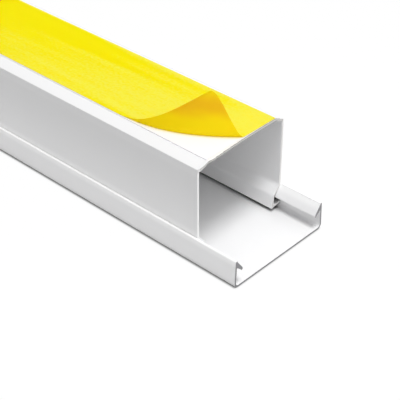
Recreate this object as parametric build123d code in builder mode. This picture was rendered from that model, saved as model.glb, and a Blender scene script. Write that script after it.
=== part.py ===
"""Two-piece cord cover raceway: channel, snap-on lid, adhesive tape and half peeled release liner.

The stock lies on its lid with the adhesive back up. X runs along the stock, Z is up, and the
origin is on the floor under the middle of the whole. Lengths are in millimetres.
"""
import os
from math import hypot

from build123d import *

# Length of the stock, and how far the lid is drawn out at the near end
stock_length = 400.0
lid_draw = 16.5

# Channel section, open side down
channel_width = 40.0
channel_wall = 0.7
wall_top = 35.2
back_rise = 1.6
pad_margin = 0.2
shoulder_height = 2.6
shoulder_lean = 0.2
shoulder_radius = 0.3
jog_top = 9.95
jog_drop = 3.2
jog_inset = 2.85
jog_edge_radius = 0.5
jog_radius = 2.0
neck_lean = 0.4
foot_length = 3.4
foot_rise = 0.6
foot_tip_radius = 0.3

# Lid section
lid_overhang = 0.9
lid_wall = 0.7
flange_height = 10.2
flange_lean = 0.45
lid_corner_radius = 1.8
lid_inner_radius = 1.1
lip_rounding = 0.6
lip_depth = 0.25
hook_drop = 4.0
hook_bend_out = 0.3
hook_bend_rise = 0.6
hook_bend_radius = 2.0
hook_tip_width = 0.3
hook_tip_height = 0.7
hook_tip_radius = 0.25
hook_root_drop = 2.5
hook_root_radius = 0.2

# Clearances of the sliding fit: lip beside wall, hook beside neck, heel of the foot over the lid
lip_clearance = 0.15
hook_clearance = 0.45
heel_clearance = 1.4

# Adhesive tape along the channel's back, and the liner over it
tape_width = 32.0
tape_thickness = 0.3
liner_thickness = 0.15
liner_setback = 0.2

# Peeled near corner of the liner: where its crease leaves the two edges, how far the flat part
# runs on into the flap, and where the tip went
crease_along = 35.0
crease_across = 17.0
crease_lap = 0.6
tip_back = 10.0
tip_across = 12.2
tip_rise = 13.7

channel_near_end = (stock_length - lid_draw) / 2
channel_far_end = channel_near_end - stock_length
lid_far_end = channel_far_end + lid_draw
channel_half = channel_width / 2
pad_half = tape_width / 2 + pad_margin
back_height = wall_top + back_rise
tape_top = back_height + tape_thickness
neck_half = channel_half - jog_inset
jog_bottom = jog_top - jog_drop
heel_half = neck_half - neck_lean
foot_half = heel_half + foot_length
foot_slope = foot_rise / foot_length
foot_top = lid_wall + heel_clearance + channel_wall * (hypot(1, foot_slope) + foot_slope)
lid_half = channel_half + lid_overhang
lip_radius = lip_rounding * (lid_overhang - lip_clearance)
hook_tip_half = neck_half + hook_clearance
hook_tip_top = flange_height - hook_drop
hook_root = flange_height - hook_root_drop

os.makedirs("parts", exist_ok=True)


def corners(section, half_widths, heights):
    """The corners of a section between two half widths and between two heights."""
    return section.vertices().filter_by(
        lambda corner: half_widths[0] < abs(corner.X) < half_widths[1] and heights[0] < corner.Y < heights[1]
    )


def flange_outside(height):
    """How far out the leaning outer face of the lid's flange stands at a height."""
    return lid_half + flange_lean * (1 - height / flange_height)


# The channel: a raised back, sloping shoulders, walls that jog inwards, and a rising foot on each
with BuildPart() as channel:
    with BuildSketch(Plane.YZ.offset(channel_far_end)) as channel_section:
        with BuildLine():
            Polyline(
                (0, back_height),
                (pad_half, back_height),
                (channel_half - shoulder_lean, wall_top),
                (channel_half, wall_top - shoulder_height),
                (channel_half, jog_top),
                (neck_half, jog_bottom),
                (heel_half, foot_top),
                (foot_half, foot_top + foot_rise),
            )
            offset(amount=channel_wall, kind=Kind.INTERSECTION, side=Side.RIGHT)
        make_face()
        mirror(about=Plane.YZ)
        outer_faces = (channel_half - channel_wall / 2, channel_width)
        shoulder_band = (wall_top - channel_wall, back_height)
        fillet(corners(channel_section, outer_faces, shoulder_band), shoulder_radius)
        inner_faces = (0, channel_half - channel_wall / 2)
        jog_band = (jog_bottom - channel_wall, jog_top + channel_wall)
        fillet(corners(channel_section, outer_faces, jog_band), jog_edge_radius)
        fillet(corners(channel_section, inner_faces, jog_band), jog_radius)
        foot_tips = (heel_half + foot_length / 2, channel_width)
        foot_band = (0, jog_bottom - channel_wall)
        fillet(corners(channel_section, foot_tips, foot_band), foot_tip_radius)
    extrude(amount=stock_length)
channel.part.label = "channel"
export_step(channel.part, "parts/channel.step")

# The lid: a flat plate, two flanges that lean in, and a hook on each that holds over the foot
with BuildPart() as lid:
    with BuildSketch(Plane.YZ.offset(lid_far_end)):
        with BuildLine():
            FilletPolyline(
                (0, 0),
                (flange_outside(0), 0),
                (lid_half, flange_height),
                (channel_half + lip_clearance, flange_height),
                (channel_half + lip_clearance, flange_height - lip_depth),
                (hook_tip_half + hook_bend_out, hook_tip_top + hook_bend_rise),
                (hook_tip_half, hook_tip_top),
                (hook_tip_half + hook_tip_width, hook_tip_top - hook_tip_height),
                (flange_outside(hook_root) - lid_wall, hook_root),
                (flange_outside(lid_wall) - lid_wall, lid_wall),
                (0, lid_wall),
                radius=[
                    lid_corner_radius,
                    lip_radius,
                    0,
                    lip_clearance,
                    hook_bend_radius,
                    hook_tip_radius,
                    hook_tip_radius,
                    hook_root_radius,
                    lid_inner_radius,
                ],
            )
            mirror(about=Plane.YZ)
        make_face()
    extrude(amount=stock_length)
lid.part.label = "lid"
export_step(lid.part, "parts/lid.step")

# The adhesive tape, as long as the channel
with BuildPart() as adhesive_tape:
    with BuildSketch(Plane.XY.offset(back_height)):
        with Locations((channel_near_end - stock_length / 2, 0)):
            Rectangle(stock_length, tape_width)
    extrude(amount=tape_thickness)
adhesive_tape.part.label = "adhesive_tape"
export_step(adhesive_tape.part, "parts/adhesive_tape.step")

# The release liner: flat up to its crease, then a cone whose point is the crease's near end.
# The free front edge leaves the back in line with itself and curls up to the tip in one arc.
liner_near_end = channel_near_end - liner_setback
liner_far_end = channel_far_end + liner_setback
liner_front = -tape_width / 2
crease_near = Vector(liner_near_end, liner_front + crease_across, tape_top)
crease_front = Vector(liner_near_end - crease_along, liner_front, tape_top)
tip = Vector(liner_near_end - tip_back, liner_front + tip_across, tape_top + tip_rise)
curl_plane = Plane(crease_front, x_dir=(1, 0, 0), z_dir=Vector(1, 0, 0).cross(tip - crease_front))
with BuildPart() as release_liner:
    with BuildSketch(Plane.XY.offset(tape_top)):
        with BuildLine():
            Polyline(
                (liner_far_end, liner_front),
                (crease_front.X + crease_lap, liner_front),
                (liner_near_end, crease_near.Y - crease_lap * crease_across / crease_along),
                (liner_near_end, -liner_front),
                (liner_far_end, -liner_front),
                close=True,
            )
        make_face()
    extrude(amount=liner_thickness)
    with BuildSketch(curl_plane) as curl_section:
        with BuildLine():
            TangentArc((0, 0), curl_plane.to_local_coords(tip), tangent=(1, 0))
            offset(amount=liner_thickness, side=Side.LEFT)
        make_face()
    loft(sections=[curl_section.sketch.face(), Vertex(*crease_near)])
release_liner.part.label = "release_liner"
export_step(release_liner.part, "parts/release_liner.step")
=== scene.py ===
"""Finishes of a straight length of cord cover raceway, and the studio that it is seen in.

The extruded channel, the lid and the adhesive tape come from the packed frame and get their finishes
here. The release liner is made here as a thin curled sheet, and so is the burr that the saw left on the
channel's back. Lengths are in metres, in the frame's axes: X along the stock, Y across it, Z up.
"""

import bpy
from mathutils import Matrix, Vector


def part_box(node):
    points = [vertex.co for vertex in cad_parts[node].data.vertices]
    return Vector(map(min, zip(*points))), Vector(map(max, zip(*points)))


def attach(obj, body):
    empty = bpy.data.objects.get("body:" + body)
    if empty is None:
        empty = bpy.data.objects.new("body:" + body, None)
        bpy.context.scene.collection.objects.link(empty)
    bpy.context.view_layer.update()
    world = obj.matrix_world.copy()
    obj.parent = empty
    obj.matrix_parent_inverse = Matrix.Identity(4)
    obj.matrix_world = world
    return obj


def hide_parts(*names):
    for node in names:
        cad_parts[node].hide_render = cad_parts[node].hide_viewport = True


bl_info = {
    "name": "Cord cover raceway",
    "version": (1, 0, 0),
    "blender": (4, 5, 0),
    "location": "View3D > Sidebar > Raceway",
    "description": "Finishes a two-piece cord cover raceway with a half peeled release liner",
    "category": "Object",
}

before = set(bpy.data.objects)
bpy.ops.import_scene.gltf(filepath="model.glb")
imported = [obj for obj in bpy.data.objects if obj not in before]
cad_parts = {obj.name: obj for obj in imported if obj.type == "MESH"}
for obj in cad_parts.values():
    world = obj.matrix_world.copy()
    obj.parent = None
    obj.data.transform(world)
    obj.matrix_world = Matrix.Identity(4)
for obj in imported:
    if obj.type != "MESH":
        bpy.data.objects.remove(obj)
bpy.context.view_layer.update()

import math

import bpy
import numpy as np
from bpy.props import FloatProperty, FloatVectorProperty, PointerProperty
from mathutils import Matrix, Vector

MM = 0.001

_, channel_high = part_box("channel")
tape_low, tape_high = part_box("adhesive_tape")
liner_low, liner_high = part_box("release_liner")

# The axes: along the stock, across it and up
ALONG, ACROSS, UP = range(3)

# The Mix node's sockets for colours, which share their names with those for numbers
MIX_FACTOR, MIX_FIRST, MIX_SECOND, MIX_RESULT = 0, 6, 7, 2

# Grain of the finishes, in waves to the metre along the stock, across it and up, or all ways alike
CLOUD_GRAIN = (9.0, 60.0, 60.0)
SCRATCH_GRAIN = (200.0, 900.0, 3500.0)
LINE_GRAIN_ALONG = 4.0
RIPPLE_GRAIN = (60.0, 300.0, 300.0)
FOAM_GRAIN = 6000.0
STREAK_GRAIN = (25.0, 350.0, 350.0)
MOTTLE_GRAIN = (800.0, 1100.0, 1100.0)
UNDERSIDE_GRAIN = (60.0, 120.0, 120.0)

# The middle of the noise, the die lines' share in the clouds, the noise over which those clear, and the
# streaks' share in the liner's relief
NOISE_MIDDLE = 0.5
LINE_SHARE = 0.4
CLOUD_LIMITS = (0.2, 0.8)
STREAK_SHARE = 0.6

# How squarely a face has to look along the stock to count as sawn, and up to count as the tape's top
SAWN_FACING = (0.8, 0.95)
TOP_FACING = (0.4, 0.8)

# Rays for the ambient occlusion of the finishes and of the floor
FINISH_RAYS = 16
FLOOR_RAYS = 24

# Density of the liner's grid of points, the least width of its flap, and the fold that counts as sharp
ROW_PITCH = 0.5 * MM
FLAT_ROWS = 60
COLUMNS = 72
LEAST_WIDTH = 0.001 * MM
SHARP_FOLD = math.radians(50.0)

# Sections along the burr, how deep it is rooted in the channel, its least reach, and how far along
# its shorter waves start, in radians
BURR_SECTIONS = 120
BURR_ROOT = 0.05 * MM
BURR_LEAST = 0.02 * MM
FINE_WAVE_START = 1.0

WHITE = (1.0, 1.0, 1.0)
BLACK = (0.0, 0.0, 0.0)


def length(name, description, default):
    """A length that a user may set, in metres."""
    return FloatProperty(name=name, description=description, default=default, unit="LENGTH", precision=5)


def angle(name, description, degrees):
    """An angle that a user may set."""
    return FloatProperty(name=name, description=description, default=math.radians(degrees), subtype="ANGLE")


def lengths(name, description, *default):
    """Lengths in metres that a user may set: a step along three axes, or from where to where."""
    return FloatVectorProperty(
        name=name, description=description, default=default, size=len(default), unit="LENGTH", precision=5
    )


def share(name, description, default):
    """A plain number that a user may set."""
    return FloatProperty(name=name, description=description, default=default)


def shares(name, description, *default):
    """Plain numbers that a user may set: three that go together, or from how much to how much."""
    return FloatVectorProperty(
        name=name, description=description, default=default, size=len(default), precision=4
    )


def colour(name, description, default):
    """A linear colour that a user may set."""
    return FloatVectorProperty(
        name=name, description=description, default=default, subtype="COLOR", size=3, min=0.0, max=1.0
    )


class RacewayPlastic(bpy.types.PropertyGroup):
    """The extruded white plastic of the channel and the lid"""

    body: colour("Body", "Colour of the extruded faces", (0.90, 0.90, 0.905))
    cloud: share("Cloud", "How light the cloudier stretches are beside the rest", 0.985)
    roughness: share("Roughness", "Roughness of the extruded faces", 0.38)
    line_pitch: length("Line pitch", "Spacing of the fine lines that the die leaves", 0.9 * MM)
    line_depth: length("Line depth", "Depth of those lines", 0.012 * MM)
    line_gloss: share("Line gloss", "How much the lines vary the roughness", 0.12)
    # Painted highlight: the plastic turns white in a band by the lid's lip and the foot of the channel's
    # wall, standing in for the light that the lip's top throws there.
    painted_highlight: colour("Painted highlight", "Colour where the lid's lip and the channel's wall rub together", WHITE)
    highlight_low: lengths("Rubbed low", "Heights from none to full of that rubbed band", 7.6 * MM, 9.4 * MM)
    highlight_high: lengths("Rubbed high", "Heights from full to none of that band", 10.2 * MM, 13.0 * MM)
    highlight_wall: lengths("Rubbed wall", "Where across the channel the band begins", 19.5 * MM, 19.8 * MM)
    highlight_lip: lengths("Rubbed lip", "Where across the lid the band begins", 16.0 * MM, 16.3 * MM)
    # Painted shade: a near black colour deep in the narrow gaps between channel and lid, found by ambient
    # occlusion.
    seam: colour("Seam", "Colour deep in the narrow gaps between channel and lid", (0.02, 0.02, 0.02))
    gap_shade_depth: length("Seam depth", "How narrow a gap has to be before it darkens", 4.0 * MM)
    gap_shade_opening: shares("Seam opening", "Open share from a dark gap to a plain face", 0.22, 0.42)
    gap_shade_high: lengths("Seam high", "Heights over which the gaps stop darkening", 6.0 * MM, 8.5 * MM)


class RacewaySawing(bpy.types.PropertyGroup):
    """The sawn ends of the channel and the lid"""

    roughness: share("Roughness", "Roughness of the sawn ends", 0.7)
    # The same sawn plastic in lit and shaded copies: the channel's ends a little whiter than the body as a
    # painted highlight, the lid's ends dark grey as painted shade low by the floor.
    channel: colour("Channel", "Colour of the channel's sawn ends", (0.93, 0.93, 0.93))
    lid: colour("Lid", "Colour of the lid's sawn ends", (0.28, 0.28, 0.29))
    # The channel's sawn back is set greyer towards the top and towards the back.
    back: colour("Back", "Colour of the channel's sawn back, left duller", (0.62, 0.61, 0.59))
    back_rise: lengths(
        "Back rise", "Heights over which the cut turns dull", tape_low.z - 3.0 * MM, tape_low.z - 1.0 * MM
    )
    back_side: lengths("Back side", "Where across the stock it turns duller too", 0.0, channel_high.y)
    back_greying: share("Back dulling", "How dull it turns there", 0.5)
    # Dark rims along the top and bottom edges of the sawn back: at the bottom painted shade under the edge,
    # at the top a grey line for the tape's foam edge with painted shade beside it.
    rim: colour("Rim", "Colour along the two rims of that sawn back", (0.32, 0.31, 0.29))
    rim_middle: length("Rim middle", "Height halfway between those rims", tape_high.z - 0.55 * MM)
    rim_reach: lengths("Rim reach", "From the paler middle to the rims", 0.2 * MM, 0.45 * MM)
    rim_end: lengths("Rim end", "Where across the stock the rims end", tape_high.y, tape_high.y + 1.0 * MM)


class RacewayBurr(bpy.types.PropertyGroup):
    """The thin burr that the saw left along the near end of the channel's back"""

    reach: length("Reach", "How far the burr stands out where it is widest", 1.1 * MM)
    widest: length("Widest", "Where across the stock it is widest, from its middle", -14.0 * MM)
    front_end: length("Front end", "Where it runs out on the front shoulder", -19.6 * MM)
    back_end: length("Back end", "Where it runs out on the back shoulder", 18.0 * MM)
    front_taper: share("Front taper", "Power of its fall to the front end", 0.4)
    back_taper: share("Back taper", "Power of its fall to the back end", 2.6)
    thickness: length("Thickness", "Height of the burr, from the tape's face down", 1.1 * MM)
    undercut: share("Undercut", "How much of its reach its lower edge lacks", 0.2)
    shoulder_drop: length("Shoulder drop", "How far it drops over each shoulder", 1.9 * MM)
    ragged: length("Ragged", "How uneven its edge is", 0.06 * MM)
    coarse_wave: length("Coarse wave", "Length of the edge's longer waves for each radian", 0.61 * MM)
    fine_wave: length("Fine wave", "Length of the edge's shorter waves for each radian", 0.27 * MM)


class RacewayTape(bpy.types.PropertyGroup):
    """The adhesive foam tape along the channel's back"""

    face: colour("Face", "Colour of the adhesive face", (0.88, 0.885, 0.95))
    # The foam edges take their own colour, raised above the face's as painted light that offsets the shade
    # in the corner by the shoulder.
    edge: colour("Edge", "Colour of the foam along the tape's edges", (0.96, 0.95, 0.98))
    # Painted shade: beside the liner's fold the adhesive turns a darker yellow, standing in for the fold's
    # contact shadow and the yellow light it throws.
    fold_shade: colour("Tint", "Colour of the adhesive right beside the liner's fold", (0.76, 0.68, 0.22))
    fold_shade_reach: length("Tint reach", "How far from the fold that tint fades out", 1.8 * MM)
    fold_shade_opening: shares("Tint opening", "Open share from the tint to the plain face", 0.45, 1.0)
    roughness: share("Roughness", "Roughness of the adhesive face", 0.4)
    edge_roughness: share("Edge roughness", "Roughness of the foam edges", 0.8)
    ripple_gloss: share("Ripple gloss", "How much the ripple varies the roughness", 0.15)
    relief: length("Relief", "Depth of the ripple and of the foam's cells", 0.04 * MM)


class RacewayLiner(bpy.types.PropertyGroup):
    """The release liner and the curl of its peeled corner"""

    thickness: length("Thickness", "Thickness of the liner's paper", 0.15 * MM)
    front_margin: length("Front margin", "How far the liner's front edge lies inside the tape's", 0.35 * MM)
    back_margin: length("Back margin", "How far its back edge lies inside the tape's", 0.1 * MM)
    crease_root: length("Crease root", "From the near end to where the crease leaves the front", 37.48 * MM)
    crease_across: length("Crease across", "From the front to where it meets the near end", 16.9 * MM)
    crease_swing: share("Crease swing", "How late the crease swings across, 1 being straight", 2.174)
    tip_back: length("Tip back", "How far the flap's tip stands from the near end", 10.71 * MM)
    tip_across: length("Tip across", "Where the tip stands across the stock, from its middle", -2.67 * MM)
    tip_height: length("Tip height", "How far the tip stands above the tape", 13.3 * MM)
    edge_start: length("Edge start", "How far the free edge heads along the stock at its root", 12.92 * MM)
    edge_end: lengths("Edge end", "How the free edge comes in to the tip", 6.25 * MM, 6.38 * MM, 4.5 * MM)
    roll: shares("Roll", "How the flap leaves its crease, in widths of the flap", -0.006, -0.21, 0.0)
    tip_turn: shares("Tip turn", "How it ends at its tip, in widths of the flap", -0.058, -0.16, -0.082)
    root_turn: shares("Root turn", "How it ends at its root, in widths of the flap", -0.336, 0.304, 0.780)


class RacewayPaper(bpy.types.PropertyGroup):
    """The two faces of the release liner's paper"""

    top: colour("Top", "Colour of the liner's upper face", (0.97, 0.73, 0.0005))
    top_roughness: share("Top roughness", "Roughness of the upper face", 0.5)
    top_gloss: share("Top gloss", "How much the mottle varies that roughness", 0.2)
    top_relief: length("Top relief", "Depth of the upper face's grain", 0.05 * MM)
    top_shine: share("Top shine", "Specular level of the upper face", 0.02)
    under: colour("Under", "Colour of the coated underside", (1.0, 0.68, 0.003))
    # Painted shade: a darker orange band on the flap's underside below its tip, where the curl turns away
    # from the light.
    under_shade: colour("Under deep", "Deeper colour of it below the flap's tip", (0.87, 0.50, 0.009))
    shade_low: lengths("Painted shade low", "Heights from none to full of that deeper band", 4.0 * MM, 9.0 * MM)
    shade_high: lengths("Painted shade high", "Heights from full to none of that band", 9.5 * MM, 13.5 * MM)
    shade_waver: length("Painted shade waver", "How far the band wavers up and down", 4.0 * MM)
    under_roughness: share("Under roughness", "Roughness of the underside", 0.45)
    under_gloss: share("Under gloss", "How much its bands vary that roughness", 0.15)
    under_relief: length("Under relief", "Depth of the underside's grain", 0.04 * MM)
    under_shine: share("Under shine", "Specular level of the underside", 0.08)
    translucence: share("Translucence", "How much light the paper lets through", 0.6)
    glow: shares("Glow", "How far red, green and blue spread, in glow depths", 1.0, 0.7, 0.1)
    glow_depth: length("Glow depth", "How far light spreads in the paper", 0.5 * MM)


class RacewayFading(bpy.types.PropertyGroup):
    """Where the liner's upper face has faded, with places along it from the tape's near end"""

    faded: colour("Faded", "Colour where the liner has faded", (0.965, 0.775, 0.066))
    level: share("Level", "How faded the plain face is", 0.76)
    mottle: share("Mottle", "How strongly the fading is mottled", 1.6)
    streaks: share("Streaks", "How strongly it streaks along the stock", 1.1)
    band: share("Band", "How much fresher a band by the back edge is", 0.38)
    band_front: lengths("Band front", "Where across the stock that band begins", 4.5 * MM, 7.5 * MM)
    band_back: lengths("Band back", "Where across the stock it ends", 13.0 * MM, 15.5 * MM)
    band_near: lengths("Band near", "Where along the stock it ends", -22.0 * MM, -8.0 * MM)
    front: share("Front", "How much fresher the front edge is beside the flap", 0.5)
    front_side: lengths("Front side", "Where across the stock that stretch ends", -15.4 * MM, -13.0 * MM)
    front_start: lengths("Front start", "Where along the stock it begins", -65.0 * MM, -45.0 * MM)
    far_front: share("Far front", "How much fresher the far end is at the front", 0.35)
    far_more: share("Far more", "How much more so it is at the back", 0.5)
    far_along: lengths("Far along", "From the fresh far end to the near end", -110.0 * MM, -20.0 * MM)
    far_across: lengths("Far across", "From the front of the far end to its back", -16.0 * MM, 12.0 * MM)
    rim: share("Rim", "How much paler the back edge is", 0.8)
    rim_side: lengths("Rim side", "Where across the stock that pale edge begins", 14.7 * MM, 15.9 * MM)


class RacewayStage(bpy.types.PropertyGroup):
    """The camera, the lamp, the room and the floor"""

    focal_length: FloatProperty(name="Focal length", description="Of the lens", default=99.0, unit="CAMERA")
    azimuth: angle("Azimuth", "Turn of the view from straight along the depth", 42.88)
    elevation: angle("Elevation", "Height of the view above level", 35.62)
    distance: length("Distance", "Depth from the camera to a point at the channel's near end", 343.72 * MM)
    aim_height: length("Aim height", "Height of that point above the floor", 20.4 * MM)
    aside: length("Aside", "How far that point stands to the right of the picture's middle", 12.82 * MM)
    above: length("Above", "How far that point stands above the picture's middle", 5.11 * MM)
    clip_start: length("Clip start", "How near to the camera things still show", 0.01)
    key_power: FloatProperty(name="Key power", description="Of the overhead lamp", default=5.7, unit="POWER")
    key_distance: length("Key distance", "From the overhead lamp to the channel's near end", 1.0)
    key_lean: angle("Key lean", "Lean of the overhead lamp towards the near end", 13.0)
    key_front: angle("Key front", "Lean of the overhead lamp towards the front", 6.0)
    key_size: length("Key size", "Width of the overhead lamp", 0.31)
    ambient: share("Ambient", "Brightness of the room's light from all round", 0.58)
    near_glow: share("Near glow", "How much brighter the room is beyond the near end", 0.9)
    front_dim: share("Front dim", "How much dimmer the room is in front than above", 0.35)
    floor_reach: length("Floor reach", "How far the floor runs each way", 4.0)
    foot_bounce: share("Foot bounce", "How much light the floor sends back at the object's foot", 0.25)
    bounce: share("Bounce", "How much light the floor sends back beside the object", 0.9)
    far_bounce: share("Far bounce", "How much light the floor sends back further away", 0.2)
    foot: lengths("Foot", "From the object's foot to the floor beside it", 21.0 * MM, 26.0 * MM)
    away: lengths("Away", "From the floor beside the object to the floor far away", 30.0 * MM, 120.0 * MM)
    floor: colour("Floor", "Colour of the floor under the object's shadow", (0.95, 0.95, 0.95))
    shadow: share("Shadow", "How strongly the object's shadow shows on the white floor", 0.12)
    contact: length("Contact", "How far from the object its contact shadow reaches", 1.0 * MM)
    contact_opening: shares("Contact opening", "Open share from that shadow to the white floor", 0.0, 0.95)


class Value:
    """A socket in a node tree. Sums and products of values add the Math nodes for them."""

    def __init__(self, tree, socket=None):
        self.tree = tree
        self.socket = socket

    def node(self, kind, settings=None, inputs=None, output=0):
        """A new node: its settings are set first, then its sockets get their values or links."""
        made = self.tree.nodes.new(kind)
        for name, setting in (settings or {}).items():
            setattr(made, name, setting)
        for key, given in (inputs or {}).items():
            if isinstance(given, Value):
                self.tree.links.new(given.socket, made.inputs[key])
            else:
                made.inputs[key].default_value = given
        return Value(self.tree, made.outputs[output] if len(made.outputs) else None)

    def maths(self, operation, first, second=0.0):
        """A Math node on one or two values."""
        return self.node("ShaderNodeMath", {"operation": operation}, {0: first, 1: second})

    def __add__(self, other):
        return self.maths("ADD", self, other)

    def __sub__(self, other):
        return self.maths("SUBTRACT", self, other)

    def __rsub__(self, other):
        return self.maths("SUBTRACT", other, self)

    def __mul__(self, other):
        return self.maths("MULTIPLY", self, other)

    def __abs__(self):
        return self.maths("ABSOLUTE", self)

    __radd__ = __add__
    __rmul__ = __mul__

    def mixed(self, first, second):
        """The first colour where this value is 0 and the second where it is 1."""
        return self.node(
            "ShaderNodeMix",
            {"data_type": "RGBA"},
            {MIX_FACTOR: self, MIX_FIRST: opaque(first), MIX_SECOND: opaque(second)},
            output=MIX_RESULT,
        )

    def ramp(self, low, high):
        """0 below low, 1 above high, and a smooth rise between them."""
        return self.node(
            "ShaderNodeMapRange",
            {"interpolation_type": "SMOOTHSTEP"},
            {"Value": self, "From Min": low, "From Max": high},
        )

    def part(self, axis):
        """One axis of a position or a direction."""
        return self.node("ShaderNodeSeparateXYZ", None, {0: self}, output=axis)

    def grain(self, waves, detail):
        """Smooth noise from 0 to 1 over a position, with this many waves to the metre along each axis."""
        stretched = self.node("ShaderNodeVectorMath", {"operation": "MULTIPLY"}, {0: self, 1: waves})
        return stretched.noise(1.0, detail)

    def noise(self, scale, detail):
        """Smooth noise from 0 to 1 over a position."""
        return self.node("ShaderNodeTexNoise", None, {"Vector": self, "Scale": scale, "Detail": detail})


def opaque(shade):
    """A colour's three numbers with full alpha, or a value as it is."""
    return shade if isinstance(shade, Value) else (*shade, 1.0)


def new_finish(name):
    """A new material with a bare surface, and the start of its tree to build on."""
    material = bpy.data.materials.new(name)
    material.use_nodes = True
    material.node_tree.nodes.clear()
    return material, Value(material.node_tree)


def place_on(start):
    """The position in the piece's own axes."""
    return start.node("ShaderNodeTexCoord", output="Object")


def facing(start, axis):
    """How squarely the surface faces along an axis, either way."""
    return abs(start.node("ShaderNodeNewGeometry", output="Normal").part(axis))


def openness(start, reach, rays):
    """How open the surface is, counting what lies within reach of it, from 0 in a deep gap to 1."""
    return start.node("ShaderNodeAmbientOcclusion", {"samples": rays}, {"Distance": reach}, output="AO")


def bumped(start, height, distance):
    """The normal over relief of this height, where 1 stands for that distance."""
    return start.node("ShaderNodeBump", None, {"Strength": 1.0, "Distance": distance, "Height": height})


def surface(start, **sockets):
    """Puts a principled surface with these sockets on the tree's output."""
    shader = start.node(
        "ShaderNodeBsdfPrincipled", None, {name.replace("_", " "): given for name, given in sockets.items()}
    )
    start.node("ShaderNodeOutputMaterial", None, {"Surface": shader})


def plastic_finish(name, plastic, highlight_side, sawing, sawn, sawn_back, sawn_rim_shade):
    """Extruded plastic: fine lines along the stock, rough sawn faces across it, painted shade in narrow gaps
    and a painted highlight by the lip.
    """
    material, start = new_finish(name)
    place = place_on(start)
    across, height = place.part(ACROSS), place.part(UP)
    aside = abs(across)
    line_grain = 1.0 / plastic.line_pitch
    lines = place.grain((LINE_GRAIN_ALONG, line_grain, line_grain), detail=3.0)
    cloud = place.grain(CLOUD_GRAIN, detail=2.0)
    scratches = place.grain(SCRATCH_GRAIN, detail=3.0)

    clear = (lines * LINE_SHARE + cloud * (1 - LINE_SHARE)).ramp(*CLOUD_LIMITS)
    body = clear.mixed([plastic.cloud * tone for tone in plastic.body], plastic.body)
    # Painted highlight in the band by the lid's lip and the foot of the wall.
    painted_highlight = height.ramp(*plastic.highlight_low) * (1 - height.ramp(*plastic.highlight_high))
    body = (painted_highlight * aside.ramp(*highlight_side)).mixed(body, plastic.painted_highlight)

    cut = facing(start, ALONG).ramp(*SAWN_FACING)
    # Dark rims of painted shade along the sawn back's edges, and a greyer sawn back towards the top.
    rim = abs(height - sawing.rim_middle).ramp(*sawing.rim_reach) * (1 - aside.ramp(*sawing.rim_end))
    greyish = height.ramp(*sawing.back_rise) + across.ramp(*sawing.back_side) * sawing.back_greying
    cut_shade = greyish.mixed(sawn, rim.mixed(sawn_back, sawn_rim_shade))

    # Painted shade in the narrow gaps low down, from ambient occlusion.
    opening = openness(start, plastic.gap_shade_depth, FINISH_RAYS)
    gap = (1 - opening.ramp(*plastic.gap_shade_opening)) * (1 - height.ramp(*plastic.gap_shade_high))
    rougher = cut * (sawing.roughness - plastic.roughness)
    surface(
        start,
        Base_Color=gap.mixed(cut.mixed(body, cut_shade), plastic.seam),
        Roughness=plastic.roughness + (lines - NOISE_MIDDLE) * plastic.line_gloss + rougher,
        Normal=bumped(start, lines * (1 - cut) + scratches * cut, plastic.line_depth),
    )
    return material


def tape_finish(tape):
    """White adhesive with a slight ripple, painted shade and painted yellow bounce light beside the liner's
    fold, and open foam edges.
    """
    material, start = new_finish("adhesive_foam")
    place = place_on(start)
    edge = 1 - facing(start, UP).ramp(*TOP_FACING)
    ripple = place.grain(RIPPLE_GRAIN, detail=2.0)
    cells = place.noise(FOAM_GRAIN, detail=1.0)
    # Painted shade and yellow bounce light beside the fold, from ambient occlusion.
    opening = openness(start, tape.fold_shade_reach, FINISH_RAYS)
    face = opening.ramp(*tape.fold_shade_opening).mixed(tape.fold_shade, tape.face)
    rougher = edge * (tape.edge_roughness - tape.roughness)
    surface(
        start,
        Base_Color=edge.mixed(face, tape.edge),
        Roughness=tape.roughness + rougher + (ripple - NOISE_MIDDLE) * tape.ripple_gloss,
        Normal=bumped(start, ripple * (1 - edge) + cells * edge, tape.relief),
    )
    return material


def paper_surface(start, paper, **sockets):
    """Puts the liner's thin paper, which lets some light through, on the tree's output."""
    surface(
        start,
        Subsurface_Weight=paper.translucence,
        Subsurface_Radius=paper.glow,
        Subsurface_Scale=paper.glow_depth,
        **sockets,
    )


def liner_top_finish(paper, fading):
    """Yellow coated paper, mottled and faded, fresher in a band by the back edge and at the far end."""
    material, start = new_finish("yellow_liner")
    place = place_on(start)
    along, across = place.part(ALONG) - tape_high.x, place.part(ACROSS)
    streaks = place.grain(STREAK_GRAIN, detail=4.0)
    mottle = place.grain(MOTTLE_GRAIN, detail=4.0)

    band = across.ramp(*fading.band_front) * (1 - across.ramp(*fading.band_back))
    band = band * (1 - along.ramp(*fading.band_near))
    front = (1 - across.ramp(*fading.front_side)) * along.ramp(*fading.front_start)
    far = fading.far_front + across.ramp(*fading.far_across) * fading.far_more
    far = (1 - along.ramp(*fading.far_along)) * far
    rim = across.ramp(*fading.rim_side)
    fresh = band * fading.band + front * fading.front + far - rim * fading.rim
    uneven = (mottle - NOISE_MIDDLE) * fading.mottle + (streaks - NOISE_MIDDLE) * fading.streaks
    pale = (fading.level - fresh + uneven).ramp(0.0, 1.0)
    paper_surface(
        start,
        paper,
        Base_Color=pale.mixed(paper.top, fading.faded),
        Specular_IOR_Level=paper.top_shine,
        Roughness=paper.top_roughness + (mottle - NOISE_MIDDLE) * paper.top_gloss,
        Normal=bumped(start, streaks * STREAK_SHARE + mottle * (1 - STREAK_SHARE), paper.top_relief),
    )
    return material


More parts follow.
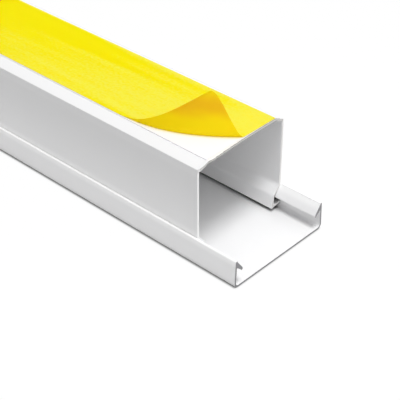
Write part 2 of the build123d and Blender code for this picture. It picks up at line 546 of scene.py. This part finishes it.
def liner_under_finish(paper):
    """The orange underside, with painted shade in a darker wavering band below the flap's tip."""
    material, start = new_finish("liner_underside")
    place = place_on(start)
    bands = place.grain(UNDERSIDE_GRAIN, detail=3.0)
    height = place.part(UP) + (bands - NOISE_MIDDLE) * paper.shade_waver - tape_high.z
    painted_shade = height.ramp(*paper.shade_low) * (1 - height.ramp(*paper.shade_high))
    paper_surface(
        start,
        paper,
        Base_Color=painted_shade.mixed(paper.under, paper.under_shade),
        Specular_IOR_Level=paper.under_shine,
        Roughness=paper.under_roughness + (bands - NOISE_MIDDLE) * paper.under_gloss,
        Normal=bumped(start, bands, paper.under_relief),
    )
    return material


def long_edges(liner):
    """Where the liner's front and back edges lie across the stock."""
    return liner_low.y + liner.front_margin, liner_high.y - liner.back_margin


def curve(start, first, second, end, place):
    """Points at places from 0 to 1 on a curve that sets out towards first and comes in from second."""
    t = place[..., None]
    return (1 - t) ** 3 * start + 3 * (1 - t) ** 2 * t * first + 3 * (1 - t) * t**2 * second + t**3 * end


def curled_liner(liner):
    """Rows of points across the liner from its near end back, with the near front corner peeled up.

    A row lies flat on the tape up to the crease, and the rest of it rolls up to the free edge. The crease
    leaves the front edge at its root and swings across to the near end.
    """
    peeled = np.arange(0.0, liner.crease_root, ROW_PITCH)
    along = -np.concatenate([peeled, np.linspace(liner.crease_root, liner_high.x - liner_low.x, FLAT_ROWS)])
    front, back = long_edges(liner)
    across = np.linspace(front, back, COLUMNS)
    from_root = np.clip(1.0 + along / liner.crease_root, 0.0, 1.0)[:, None]
    width = liner.crease_across * from_root**liner.crease_swing
    root = np.array([-liner.crease_root, front, 0.0])
    tip = np.array([-liner.tip_back, liner.tip_across, liner.tip_height])
    edge = curve(root, root + (liner.edge_start, 0.0, 0.0), tip - liner.edge_end, tip, from_root)
    crease = np.stack([along[:, None], front + width, 0.0 * width], axis=-1)
    reach = width[..., None]
    to_tip = from_root[..., None]
    turn = to_tip * liner.tip_turn + (1.0 - to_tip) * np.array(liner.root_turn)
    past = np.clip((front + width - across) / np.maximum(width, LEAST_WIDTH), 0.0, 1.0)
    flap = curve(crease, crease + reach * liner.roll, edge - reach * turn, edge, past)
    flat = np.stack([along[:, None] + 0.0 * past, across + 0.0 * past, 0.0 * past], axis=-1)
    points = np.where(past[..., None] > 0.0, flap, flat)
    return points + np.array([liner_high.x, 0.0, tape_high.z])


def thick_sheet(name, grid, thickness):
    """A closed mesh whose lower skin is a grid of points, with its upper skin that thickness above."""
    along = np.gradient(grid, axis=0)
    across = np.gradient(grid, axis=1)
    normal = np.cross(across, along)
    normal /= np.linalg.norm(normal, axis=-1, keepdims=True)
    rows, columns = grid.shape[:2]
    upper = (grid + normal * thickness).reshape(-1, 3)
    lower = grid.reshape(-1, 3)
    index = np.arange(rows * columns).reshape(rows, columns)
    quads = np.stack([index[:-1, :-1], index[:-1, 1:], index[1:, 1:], index[1:, :-1]], axis=-1)
    quads = quads.reshape(-1, 4)
    ring = np.concatenate([index[0, :-1], index[:-1, -1], index[-1, :0:-1], index[:0:-1, 0]])
    onward = np.roll(ring, -1)
    offset = rows * columns
    rim = np.stack([onward, ring, ring + offset, onward + offset], axis=-1)
    faces = np.concatenate([quads, quads[:, ::-1] + offset, rim])
    mesh = bpy.data.meshes.new(name)
    mesh.from_pydata(np.concatenate([upper, lower]).tolist(), [], faces.tolist())
    mesh.polygons.foreach_set("use_smooth", [True] * len(faces))
    mesh.polygons.foreach_set("material_index", [0] * len(quads) + [1] * (len(quads) + len(rim)))
    mesh.set_sharp_from_angle(angle=SHARP_FOLD)
    mesh.update()
    return mesh


def burr_mesh(burr):
    """A closed strip on the sawn end of the back, widest near the front and thinning out both ways."""
    across = np.linspace(burr.front_end, burr.back_end, BURR_SECTIONS)
    to_front = np.clip((across - burr.front_end) / (burr.widest - burr.front_end), 0.0, 1.0)
    to_back = np.clip((burr.back_end - across) / (burr.back_end - burr.widest), 0.0, 1.0)
    uneven = 1.0 + np.sin(across / burr.coarse_wave) + np.sin(across / burr.fine_wave + FINE_WAVE_START)
    reach = burr.reach * to_front**burr.front_taper * to_back**burr.back_taper
    reach += burr.ragged * uneven * to_front * to_back
    shoulder_low = tape_high.z - burr.shoulder_drop
    high = np.interp(np.abs(across), [tape_high.y, channel_high.y], [tape_high.z, shoulder_low])
    low = high - burr.thickness
    root = np.full_like(across, channel_high.x - BURR_ROOT)
    end = channel_high.x + np.maximum(reach, BURR_LEAST)
    corners = [(root, high), (end, high), (end - burr.undercut * reach, low), (root, low)]
    points = np.stack([np.stack([x, across, z], axis=-1) for x, z in corners], axis=1)
    index = np.arange(len(across) * len(corners)).reshape(-1, len(corners))
    onward = np.roll(index, -1, axis=1)
    sides = np.stack([index[:-1], onward[:-1], onward[1:], index[1:]], axis=-1).reshape(-1, 4)
    faces = np.concatenate([sides, index[:1, ::-1], index[-1:]])
    mesh = bpy.data.meshes.new("saw_burr")
    mesh.from_pydata(points.reshape(-1, 3).tolist(), [], faces.tolist())
    return mesh


def dress(node, material):
    """Gives a piece of the frame its finish."""
    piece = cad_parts[node]
    piece.data.materials.clear()
    piece.data.materials.append(material)


def new_piece(name, mesh):
    """A new object with this mesh in the scene."""
    piece = bpy.data.objects.new(name, mesh)
    bpy.context.scene.collection.objects.link(piece)
    return piece


class RACEWAY_OT_channel(bpy.types.Operator):
    """Finish the extruded channel"""

    bl_idname = "raceway.channel"
    bl_label = "Channel"

    def execute(self, context):
        plastic, sawing = context.scene.raceway_plastic, context.scene.raceway_sawing
        cuts = (sawing.channel, sawing.back, sawing.rim)
        dress("channel", plastic_finish("white_pvc_channel", plastic, plastic.highlight_wall, sawing, *cuts))
        return {"FINISHED"}


class RACEWAY_OT_burr(bpy.types.Operator):
    """Leave a saw burr along the near end of the channel's back"""

    bl_idname = "raceway.burr"
    bl_label = "Saw burr"

    def execute(self, context):
        mesh = burr_mesh(context.scene.raceway_burr)
        mesh.materials.append(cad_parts["channel"].data.materials[0])
        piece = new_piece("saw_burr", mesh)
        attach(piece, "channel_body")
        return {"FINISHED"}


class RACEWAY_OT_lid(bpy.types.Operator):
    """Finish the extruded lid"""

    bl_idname = "raceway.lid"
    bl_label = "Lid"

    def execute(self, context):
        plastic, sawing = context.scene.raceway_plastic, context.scene.raceway_sawing
        # The lid's sawn ends all take the dark grey that is painted shade.
        cuts = (sawing.lid, sawing.lid, sawing.lid)
        dress("lid", plastic_finish("white_pvc_lid", plastic, plastic.highlight_lip, sawing, *cuts))
        return {"FINISHED"}


class RACEWAY_OT_tape(bpy.types.Operator):
    """Finish the adhesive tape"""

    bl_idname = "raceway.tape"
    bl_label = "Adhesive tape"

    def execute(self, context):
        dress("adhesive_tape", tape_finish(context.scene.raceway_tape))
        return {"FINISHED"}


class RACEWAY_OT_liner(bpy.types.Operator):
    """Lay the release liner on the tape, with its near front corner peeled up"""

    bl_idname = "raceway.liner"
    bl_label = "Release liner"

    def execute(self, context):
        liner, paper = context.scene.raceway_liner, context.scene.raceway_paper
        mesh = thick_sheet("peeled_liner", curled_liner(liner), liner.thickness)
        mesh.materials.append(liner_top_finish(paper, context.scene.raceway_fading))
        mesh.materials.append(liner_under_finish(paper))
        piece = new_piece("peeled_liner", mesh)
        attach(piece, "channel_body")
        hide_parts("release_liner")
        return {"FINISHED"}


class RACEWAY_OT_stage(bpy.types.Operator):
    """Set up the floor, the lamp, the room's light and the camera"""

    bl_idname = "raceway.stage"
    bl_label = "Stage"

    def execute(self, context):
        stage = context.scene.raceway_stage
        make_floor(stage)
        make_room(context.scene, stage)
        make_lamp(context.scene, stage)
        make_camera(context.scene, stage)
        context.scene.view_settings.view_transform = "Standard"
        return {"FINISHED"}


def seen_share(start):
    """1 for rays that show the background itself, and 0 for light on its way to a surface."""
    kinds = ("Is Camera Ray", "Is Glossy Ray", "Is Transmission Ray")
    camera, glossy, through = [start.node("ShaderNodeLightPath", output=kind) for kind in kinds]
    return start.maths("MINIMUM", camera + glossy + through, 1.0)


def floor_finish(stage):
    """White where the floor shows, with the object's shadow, and greys where it only bounces light."""
    material, start = new_finish("studio_floor")
    opening = openness(start, stage.contact, FLOOR_RAYS)
    lit = opening.ramp(*stage.contact_opening).mixed(BLACK, WHITE)
    white = start.node("ShaderNodeEmission", None, {"Color": lit, "Strength": 1.0})
    shaded = start.node("ShaderNodeBsdfDiffuse", None, {"Color": opaque(stage.floor)})
    shown = start.node("ShaderNodeMixShader", None, {0: stage.shadow, 1: white, 2: shaded})
    aside = abs(place_on(start).part(ACROSS))
    beside = aside.ramp(*stage.foot).mixed([stage.foot_bounce] * 3, [stage.bounce] * 3)
    grey = aside.ramp(*stage.away).mixed(beside, [stage.far_bounce] * 3)
    bounce = start.node("ShaderNodeBsdfDiffuse", None, {"Color": grey})
    mixed = start.node("ShaderNodeMixShader", None, {0: seen_share(start), 1: bounce, 2: shown})
    start.node("ShaderNodeOutputMaterial", None, {"Surface": mixed})
    return material


def make_floor(stage):
    """A wide white floor that keeps a light shadow and bounces some light."""
    reach = stage.floor_reach
    mesh = bpy.data.meshes.new("studio_floor")
    corners = [(-reach, -reach, 0.0), (reach, -reach, 0.0), (reach, reach, 0.0), (-reach, reach, 0.0)]
    mesh.from_pydata(corners, [], [(0, 1, 2, 3)])
    mesh.materials.append(floor_finish(stage))
    floor = new_piece("studio_floor", mesh)


def make_room(scene, stage):
    """White all round where it shows, and soft light, most from beyond the near end, where it doesn't."""
    world = bpy.data.worlds.new("studio_room")
    world.use_nodes = True
    world.node_tree.nodes.clear()
    start = Value(world.node_tree)
    shown = start.node("ShaderNodeBackground", None, {"Color": opaque(WHITE), "Strength": 1.0})
    towards = start.node("ShaderNodeTexCoord", output="Generated")
    uneven = towards.part(ALONG) * stage.near_glow + towards.part(ACROSS) * stage.front_dim
    level = stage.ambient * (1 + uneven)
    light = start.node("ShaderNodeBackground", None, {"Color": opaque(WHITE), "Strength": level})
    mixed = start.node("ShaderNodeMixShader", None, {0: seen_share(start), 1: light, 2: shown})
    start.node("ShaderNodeOutputWorld", None, {"Surface": mixed})
    scene.world = world


def make_lamp(scene, stage):
    """A square soft lamp over the channel's near end."""
    lean = Vector((math.tan(stage.key_lean), -math.tan(stage.key_front), 1.0)).normalized()
    lamp = bpy.data.lights.new("key_lamp", "AREA")
    lamp.shape = "SQUARE"
    lamp.size = stage.key_size
    lamp.energy = stage.key_power
    holder = bpy.data.objects.new("key_lamp", lamp)
    holder.location = Vector((channel_high.x, 0.0, 0.0)) + lean * stage.key_distance
    holder.rotation_euler = (-lean).to_track_quat("-Z", "Y").to_euler()
    scene.collection.objects.link(holder)


def make_camera(scene, stage):
    """A camera set out from a point in the middle of the channel's near end."""
    turn, rise = stage.azimuth, stage.elevation
    right = Vector((math.cos(turn), math.sin(turn), 0.0))
    back = Vector((math.sin(turn) * math.cos(rise), -math.cos(turn) * math.cos(rise), math.sin(rise)))
    up = back.cross(right)
    aim = Vector((channel_high.x, 0.0, stage.aim_height))
    place = aim + back * stage.distance - right * stage.aside - up * stage.above
    lens = bpy.data.cameras.new("camera")
    lens.lens = stage.focal_length
    lens.clip_start = stage.clip_start
    camera = bpy.data.objects.new("camera", lens)
    camera.matrix_world = Matrix.Translation(place) @ Matrix((right, up, back)).transposed().to_4x4()
    scene.collection.objects.link(camera)
    scene.camera = camera


OPERATORS = (
    RACEWAY_OT_channel,
    RACEWAY_OT_burr,
    RACEWAY_OT_lid,
    RACEWAY_OT_tape,
    RACEWAY_OT_liner,
    RACEWAY_OT_stage,
)
SETTINGS = {
    "raceway_plastic": RacewayPlastic,
    "raceway_sawing": RacewaySawing,
    "raceway_burr": RacewayBurr,
    "raceway_tape": RacewayTape,
    "raceway_liner": RacewayLiner,
    "raceway_paper": RacewayPaper,
    "raceway_fading": RacewayFading,
    "raceway_stage": RacewayStage,
}


class RACEWAY_PT_panel(bpy.types.Panel):
    """Lists the raceway's pieces and their settings"""

    bl_idname = "RACEWAY_PT_panel"
    bl_label = "Cord cover raceway"
    bl_space_type = "VIEW_3D"
    bl_region_type = "UI"
    bl_category = "Raceway"

    def draw(self, context):
        for operator in OPERATORS:
            self.layout.operator(operator.bl_idname)
        for name, group in SETTINGS.items():
            box = self.layout.box()
            box.label(text=group.__doc__)
            for setting in group.__annotations__:
                box.prop(getattr(context.scene, name), setting)


def register():
    for group in SETTINGS.values():
        bpy.utils.register_class(group)
    for name, group in SETTINGS.items():
        setattr(bpy.types.Scene, name, PointerProperty(type=group))
    for operator in OPERATORS:
        bpy.utils.register_class(operator)
    bpy.utils.register_class(RACEWAY_PT_panel)


def unregister():
    bpy.utils.unregister_class(RACEWAY_PT_panel)
    for operator in reversed(OPERATORS):
        bpy.utils.unregister_class(operator)
    for name in SETTINGS:
        delattr(bpy.types.Scene, name)
    for group in SETTINGS.values():
        bpy.utils.unregister_class(group)


def main():
    register()
    bpy.ops.raceway.channel()
    bpy.ops.raceway.burr()
    bpy.ops.raceway.lid()
    bpy.ops.raceway.tape()
    bpy.ops.raceway.liner()
    bpy.ops.raceway.stage()


if __name__ == "__main__":
    main()
